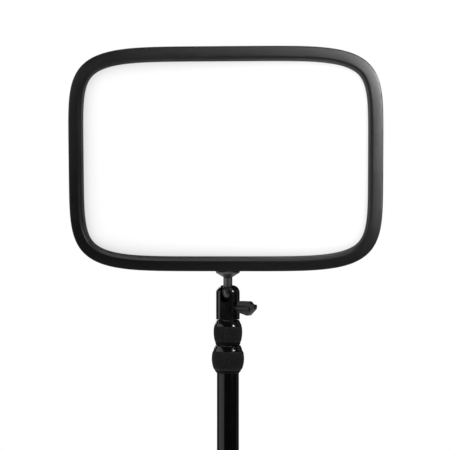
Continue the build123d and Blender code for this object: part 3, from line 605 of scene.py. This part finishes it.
def make_diffuser():
    """Opal sheet as rings that shrink towards the middle, with its glow stored at each point."""
    outer, thickness, stations = 4 * MM, 2 * MM, 240
    limit = 48 * MM  # further in than this the rings shrink instead, as the outline can't be inset so far
    fronts = [WINDOW_INSET + (-0.8 + 0.16 * k * k) * MM for k in range(15)]
    fronts = [outer] + fronts + [80 * MM, 100 * MM, 118 * MM]
    points, glow, faces = [], [], []
    for inset in fronts:
        for i in range(stations):
            p = outline_point(2 * math.pi * (i + 0.5) / stations, min(inset, limit), DIFFUSER_Y)
            if inset > limit:
                shrink = 1 - (inset - limit) / (HALF_HEIGHT - limit)
                p = Vector((p.x * shrink, p.y, p.z * shrink))
            points.append(PANEL @ p)
            depth = max(0.0, inset - WINDOW_INSET)
            glow.append(FACE_GLOW - (FACE_GLOW - EDGE_GLOW) * math.exp(-depth / EDGE_FALL))
    back = len(points)
    for i in range(stations):
        p = outline_point(2 * math.pi * (i + 0.5) / stations, outer, DIFFUSER_Y + thickness)
        points.append(PANEL @ p)
        glow.append(EDGE_GLOW)
    points += [PANEL @ Vector((0, y, 0)) for y in (DIFFUSER_Y, DIFFUSER_Y + thickness)]
    glow += [FACE_GLOW, EDGE_GLOW]
    for i in range(stations):
        n = (i + 1) % stations
        for j in range(len(fronts) - 1):
            a, b = j * stations, (j + 1) * stations
            faces.append((a + i, a + n, b + n, b + i))
        last = (len(fronts) - 1) * stations
        faces.append((last + i, last + n, len(points) - 2))
        faces.append((back + n, back + i, len(points) - 1))
        faces.append((i, back + i, back + n, n))
    mesh = mesh_from("diffuser_sheet", points, faces, merge=False)
    layer = mesh.attributes.new("glow", "FLOAT", "POINT")
    layer.data.foreach_set("value", glow)
    return stand_for(link("diffuser_sheet", mesh), "diffuser_panel")


make_bezel()
make_trim()
make_diffuser()


# ---- turned pieces, each placed by the ends of its CAD node ----
def ribbed(name, start, middle, end, inner, ribs, depth):
    """A rubber grip: an arched band with fine upright ribs that fade out at both rims."""
    rows, per_rib, rim_drop = 26, 8, 0.35 * MM
    stations = ribs * per_rib
    outer = arc_through(start, middle, end, rows)

    def place(i, j):
        angle = 2 * math.pi * i / stations
        if j < rows:
            radius, height = outer[j]
            fade = min(1.0, j / 2, (rows - 1 - j) / 2)
            wave = abs(math.cos(math.pi * i / per_rib))
            rim = 1 - min(1.0, j / 1.5, (rows - 1 - j) / 1.5)
            radius -= depth * fade * (1 - wave) ** 1.5 + rim_drop * rim
        else:
            radius, height = (inner, end[1]) if j == rows else (inner, start[1])
        return Vector((radius * math.cos(angle), radius * math.sin(angle), height))
    return swept_loop(name, stations, rows + 2, place, smooth=50)


def mm_points(points, base=0.0):
    """(radius, height) points given in mm, with their heights counted from base, in metres."""
    return [(radius * MM, base + height * MM) for radius, height in points]


def half_width(node):
    low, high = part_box(node)
    return (high.x - low.x) / 2


def make_lock(level, nut, nut_edge, grip, grip_bore, ribs, rib_depth, flange, flange_edge):
    """One twist lock: glossy nut with a bevelled top, ribbed grip round it and dull flange below.

    Points are (radius, height) in mm: the nut's from its own top, the others from their own foot. The
    grip has its lowest and its widest point and the radius of its top.
    """
    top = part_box(level + "_lock_nut")[1].z
    section = rounded(mm_points(nut, top), nut_edge * MM)
    stand_for(lathe(level + "_nut_turned", section, 160), level + "_lock_nut")

    low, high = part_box(level + "_lock_grip")
    start, middle = mm_points(grip[:2], low.z)
    end = (grip[2] * MM, high.z)
    stand_for(ribbed(level + "_grip_ribs", start, middle, end, grip_bore * MM, ribs, rib_depth * MM),
              level + "_lock_grip")

    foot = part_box(level + "_lock_base")[0].z
    section = rounded(mm_points(flange, foot), flange_edge * MM)
    piece = stand_for(lathe(level + "_flange_turned", section, 160), level + "_lock_base")
    piece.data.materials[0] = FLANGE_FINISH


def make_locks():
    """The small upper lock and the larger lower one."""
    make_lock(
        "upper",
        nut=[(12.5, -24.5), (13.4, -24.5), (13.8, -13.9), (13.8, -6.9), (15.6, -6.9), (14.6, -4.2),
             (12.7, 0), (9.0, 0), (9.0, -3.6), (10.75, -4.2), (10.75, -13.9), (12.5, -13.9)],
        nut_edge=0.45,
        grip=[(14.65, 0), (16.2, 10.7), 15.7], grip_bore=13.8, ribs=60, rib_depth=0.42,
        flange=[(10.45, 0), (13.5, 0), (14.45, 3.2), (12.4, 3.2), (12.4, 13.1), (10.45, 13.1)],
        flange_edge=0.4)
    make_lock(
        "lower",
        nut=[(13.7, -27.6), (14.85, -27.6), (15.45, -21.8), (15.45, -6.4), (16.4, -6.4), (16.2, -4.9),
             (14.35, 0), (10.8, 0), (10.8, -3.9), (12.55, -4.5), (12.55, -15.7), (13.7, -15.7)],
        nut_edge=0.5,
        grip=[(15.8, 0), (18.25, 11.2), 17.2], grip_bore=15.45, ribs=66, rib_depth=0.45,
        flange=[(12.35, 0), (12.7, 0), (14.95, 2.9), (13.6, 2.9), (13.6, 14.2), (12.35, 14.2)],
        flange_edge=0.35)


def make_tubes():
    """The three pole tubes with softly broken mouths."""
    walls = {"lower_tube": 1.2 * MM, "middle_tube": 1.1 * MM, "upper_tube": 1.2 * MM}
    for name, wall in walls.items():
        low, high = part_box(name)
        radius = half_width(name)
        bore = radius - wall
        section = [(bore, low.z), (radius, low.z), (radius, high.z), (bore, high.z)]
        stand_for(lathe(name + "_drawn", rounded(section, 0.3 * MM), 144), name)


STEM_FRAME = Matrix.Translation(BALL) @ Matrix.Rotation(LEAN, 4, "X")
BALL_RADIUS, STEM_RADIUS, STEM_TOP, STUD_TIP = 9.0 * MM, 5.1 * MM, 17.7 * MM, 37.7 * MM
STUD_RADIUS, STUD_PITCH, STUD_GROOVE = 3.1 * MM, 1.27 * MM, 0.45 * MM
STEM_FOOT, STEM_EDGE = 8.4 * MM, 0.4 * MM


def make_stem():
    """Ball, stem and grooved stud in one turned piece."""
    neck = math.asin(STEM_RADIUS / BALL_RADIUS)
    first = math.pi * 0.002  # just off the ball's lowest point, where a whole ring would fall together
    turns = [first + (math.pi * 0.998 - neck) * k / 40 for k in range(41)]
    ball = [(BALL_RADIUS * math.sin(t), -BALL_RADIUS * math.cos(t)) for t in turns]
    stem = [(STEM_RADIUS, STEM_FOOT), (STEM_RADIUS, STEM_TOP - STEM_EDGE),
            (STEM_RADIUS - STEM_EDGE, STEM_TOP)]
    stud = []
    for k in range(int((STUD_TIP - STEM_TOP) / STUD_PITCH)):
        foot = STEM_TOP + 0.2 * MM + k * STUD_PITCH
        stud += [(STUD_RADIUS, foot), (STUD_RADIUS - STUD_GROOVE, foot + 0.63 * MM)]
    section = ball + stem + stud + [(1e-6, STUD_TIP)]
    stand_for(lathe("ball_stud_turned", section, 96, STEM_FRAME), "ball_stud")


def make_lock_disc():
    """Flared disc on the stud, with a knurled rim."""
    rim, grooves, per_groove, knurl = 13.6 * MM, 72, 6, 0.3 * MM
    stations = grooves * per_groove
    section = mm_points([(3.26, 17.9), (5.3, 17.9), (12.9, 22.6), (13.5, 23.2), (13.6, 23.5), (13.6, 24.7),
                         (13.4, 25.2), (12.9, 25.4), (3.26, 25.4)])

    def place(i, j):
        angle = 2 * math.pi * i / stations
        radius, height = section[j]
        if radius > rim - knurl:
            radius -= knurl * (1 - abs(math.cos(math.pi * i / per_groove)))
        return STEM_FRAME @ Vector((radius * math.cos(angle), radius * math.sin(angle), height))
    stand_for(swept_loop("lock_disc_knurled", stations, len(section), place, smooth=40), "lock_disc")


NOTCH_ANGLE, KNOB_AXIS = math.radians(-104), Vector(JOINTS["wing_knob_turn"]["axis"])
KNOB_CENTRE = Vector(JOINTS["wing_knob_turn"]["pos_m"])
SOCKET_RADIUS, MOUTH_RADIUS, DOME_ROUND, CAVITY_RADIUS = 13.3 * MM, 6.6 * MM, 8.45 * MM, 9.3 * MM
NOTCH_HALF_WIDTH, NOTCH_FLARE, NOTCH_DROP = 5.6 * MM, 3.0 * MM, 10.5 * MM
FLAT_DISTANCE, BOLT_BORE, SCREW_BORE = 11.9 * MM, 2.6 * MM, 2.5 * MM


def socket_section(low, high):
    """The housing's closed section: domed outside, round cavity, and the bore for the upper tube."""
    crown_z = high.z - math.sqrt(DOME_ROUND ** 2 - (MOUTH_RADIUS - SOCKET_RADIUS + DOME_ROUND) ** 2)
    crown = [(SOCKET_RADIUS - DOME_ROUND + DOME_ROUND * math.cos(t), crown_z + DOME_ROUND * math.sin(t))
             for t in [math.radians(4.1 * k) for k in range(19)]]
    crown = [p for p in crown if p[0] > MOUTH_RADIUS + 0.15 * MM]
    lip = [(MOUTH_RADIUS + 0.1 * MM, high.z - 0.02 * MM), (MOUTH_RADIUS, high.z - 0.25 * MM)]
    start, stop = math.asin(MOUTH_RADIUS / CAVITY_RADIUS), math.pi / 2
    cavity = [(CAVITY_RADIUS * math.sin(t), BALL.z + CAVITY_RADIUS * math.cos(t))
              for t in [start + (stop - start) * k / 8 for k in range(9)]]
    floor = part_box("ball_seat")[0].z - 0.3 * MM
    tube_top, tube_radius, foot_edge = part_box("upper_tube")[1].z, half_width("upper_tube"), 0.3 * MM
    below = [(CAVITY_RADIUS, floor), (SCREW_BORE, floor), (SCREW_BORE, tube_top), (tube_radius, tube_top),
             (tube_radius, low.z), (SOCKET_RADIUS - foot_edge, low.z)]
    return [(SOCKET_RADIUS, low.z + foot_edge)] + crown + lip + cavity + below


def notch_outline(high):
    """Upright outline of the drop notch: a round foot, straight sides and a flared mouth."""
    middle, flare_z = BALL.z - NOTCH_DROP + NOTCH_HALF_WIDTH, high.z - NOTCH_FLARE
    reach = NOTCH_HALF_WIDTH + NOTCH_FLARE
    quarter = [math.pi / 2 * k / 8 for k in range(9)]
    right = [(reach - NOTCH_FLARE * math.cos(t), flare_z + NOTCH_FLARE * math.sin(t)) for t in quarter]
    left = [(-y, z) for y, z in reversed(right)]
    foot = [(NOTCH_HALF_WIDTH * math.cos(t), middle - NOTCH_HALF_WIDTH * math.sin(t))
            for t in [math.pi * k / 24 for k in range(25)]]
    above = [(reach, high.z + 5 * MM), (-reach, high.z + 5 * MM)]
    return right + above + left + foot[::-1]


def make_socket():
    """Ball housing: domed cylinder with its cavity, drop notch, flat and bolt hole cut out."""
    low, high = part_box("ball_socket")
    socket = lathe("ball_socket_cut", socket_section(low, high), 160)
    spin = Matrix.Rotation(NOTCH_ANGLE, 4, "Z")
    outline = notch_outline(high)
    cut_end = 20 * MM
    points = [spin @ Vector((x, y, z)) for x in (3 * MM, cut_end) for y, z in outline]
    combine(socket, prism("notch_cutter", points), "DIFFERENCE")
    flat_low, flat_high = (FLAT_DISTANCE, -10 * MM, low.z - MM), (cut_end, 10 * MM, high.z + 5 * MM)
    combine(socket, box_mesh("flat_cutter", flat_low, flat_high, spin), "DIFFERENCE")
    hole = rod_mesh("hole_cutter", BOLT_BORE, KNOB_CENTRE, KNOB_CENTRE + KNOB_AXIS * cut_end)
    combine(socket, hole, "DIFFERENCE")
    soften(socket, 0.35 * MM, 3, 32)
    stand_for(socket, "ball_socket")


def make_wing_knob():
    """Moulded knob: a hub inside one chunky lever, cut off slantwise at its lower outer corner."""
    up = Vector((0, 0, 1))
    turn = Matrix((KNOB_AXIS, up.cross(KNOB_AXIS), up)).transposed().to_4x4()
    knob_frame = Matrix.Translation(KNOB_CENTRE) @ turn
    half_thickness = 3.0 * MM
    corners = [(15.8, -4.3), (30.8, -8.1), (40.0, 0), (40.0, 4.6), (36.0, 4.6), (32.5, 8.1), (15.8, 8.1)]
    outline = rounded(mm_points(corners), 1.5 * MM)
    points = [knob_frame @ Vector((x, y, z)) for y in (-half_thickness, half_thickness) for x, z in outline]
    knob = prism("wing_knob_moulded", points)
    along = knob_frame @ Matrix.Rotation(math.radians(90), 4, "Y")
    section = mm_points([(2.5, 14.1), (4.3, 14.1), (4.3, 34.0), (0.001, 34.0), (0.001, 24.0), (2.5, 24.0)])
    combine(knob, lathe("hub", rounded(section, 0.5 * MM, 3), 72, along), "UNION")
    soften(knob, 0.9 * MM, 4, 40)
    stand_for(knob, "wing_knob")


THREAD_PITCH = 2.0 * MM


def make_clamp_screw():
    """Clamp screw with a real helical thread, its pitch the travel of one turn."""
    low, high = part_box("clamp_screw")
    outer, depth, stations, per_turn, tip = half_width("clamp_screw"), 0.9 * MM, 48, 8, 1e-6
    rows = int((high.z - low.z) / THREAD_PITCH * per_turn)

    def place(i, j):
        angle = 2 * math.pi * i / stations
        if j in (0, rows + 2):
            return Vector((tip * math.cos(angle), tip * math.sin(angle), low.z if j == 0 else high.z))
        height = low.z + (high.z - low.z) * (j - 1) / rows
        phase = ((height / THREAD_PITCH) - angle / (2 * math.pi)) % 1.0
        cut = max(0.0, min(1.0, 2.2 * abs(phase - 0.5) * 2 - 0.6))
        end = min(1.0, (height - low.z) / THREAD_PITCH, (high.z - height) / THREAD_PITCH)
        radius = outer - depth * max(cut, 1 - end)
        return Vector((radius * math.cos(angle), radius * math.sin(angle), height))
    piece = swept_loop("clamp_screw_thread", stations, rows + 3, place, closed_section=False, smooth=50)
    stand_for(piece, "clamp_screw")


make_locks()
make_tubes()
make_stem()
make_lock_disc()
make_socket()
make_wing_knob()
make_clamp_screw()


# ---- floor, light and background ----
def area_light(name, place, target, width, height, power, spread=180, receivers=None):
    """A soft rectangular light. With receivers given, it lights only that collection."""
    data = bpy.data.lights.new(name, "AREA")
    data.shape = "RECTANGLE"
    data.size, data.size_y, data.energy = width, height, power
    data.spread = math.radians(spread)
    lamp = bpy.data.objects.new(name, data)
    lamp.location = place
    lamp.rotation_euler = (Vector(target) - Vector(place)).to_track_quat("-Z", "Y").to_euler()
    if receivers is not None:
        lamp.light_linking.receiver_collection = receivers
    bpy.context.scene.collection.objects.link(lamp)


def panel_pieces():
    """The pieces on the panel, the only ones that the bezel's lights reach, in every pose."""
    group = bpy.data.collections.new("panel_pieces")
    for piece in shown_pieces():
        if body_of(piece) == ["panel"]:
            group.objects.link(piece)
    return group


def make_floor():
    """A pale round floor just under the clamp, small enough to stay out of the front view."""
    count, radius, height = 96, 1.6, cad_low.z - 0.004
    angles = [2 * math.pi * k / count for k in range(count)]
    points = [(radius * math.cos(t), radius * math.sin(t), height) for t in angles]
    floor = from_lists("studio_floor", points, [list(range(count))])
    finish = Finish("pale_floor", (0.82, 0.82, 0.81), 0.6)
    finish.tint(finish.noise(3.0), (0.80, 0.80, 0.79), (0.84, 0.84, 0.83))
    floor.data.materials.append(finish.material)
    floor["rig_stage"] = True


def make_world():
    """White to the camera, a dim grey room to everything that mirrors it."""
    world = bpy.data.worlds.new("studio")
    bpy.context.scene.world = world
    world.use_nodes = True
    tree = world.node_tree
    seen = tree.nodes["Background"]
    seen.inputs["Color"].default_value = (1, 1, 1, 1)
    seen.inputs["Strength"].default_value = 1.0
    room = tree.nodes.new("ShaderNodeBackground")
    room.inputs["Color"].default_value = (1, 1, 1, 1)
    room.inputs["Strength"].default_value = ROOM_LIGHT
    rays = tree.nodes.new("ShaderNodeLightPath")
    mix = tree.nodes.new("ShaderNodeMixShader")
    tree.links.new(rays.outputs["Is Camera Ray"], mix.inputs["Fac"])
    tree.links.new(room.outputs["Background"], mix.inputs[1])
    tree.links.new(seen.outputs["Background"], mix.inputs[2])
    tree.links.new(mix.outputs["Shader"], tree.nodes["World Output"].inputs["Surface"])


ROOM_LIGHT = 0.02
make_floor()
make_world()
ON_PANEL = panel_pieces()
area_light("key", (1.38, -1.02, 1.25), (0, 0, 0.52), 0.24, 0.5, 1.9, 70)
area_light("bezel_side", (1.00, -1.15, 0.95), (0.24, 0, 0.76), 0.4, 0.4, 1.64, 24, ON_PANEL)
area_light("bezel_corner", (0.72, -1.30, 1.05), (0.26, 0, 0.84), 0.4, 0.4, 0.18, 20, ON_PANEL)
area_light("bezel_top", (0.22, -1.40, 1.30), (-0.10, 0, 0.88), 0.9, 0.3, 0.48, 26, ON_PANEL)
area_light("bezel_left", (-1.00, -1.15, 0.95), (-0.24, 0, 0.76), 0.4, 0.4, 0.06, 24, ON_PANEL)
area_light("left_strip", (-1.65, -0.50, 0.72), (0, 0, 0.5), 2.42, 1.75, 10.3)
area_light("right_strip", (1.60, 0.70, 0.65), (0, 0, 0.5), 0.7, 1.6, 0.47)
area_light("overhead", (0.0, 0.3, 2.6), (0, 0.3, 0), 2.4, 2.4, 55)
area_light("rear_fill", (-0.9, 2.0, 1.4), (0, 0, 0.6), 1.2, 1.2, 12)
bpy.context.scene.view_settings.view_transform = "Standard"
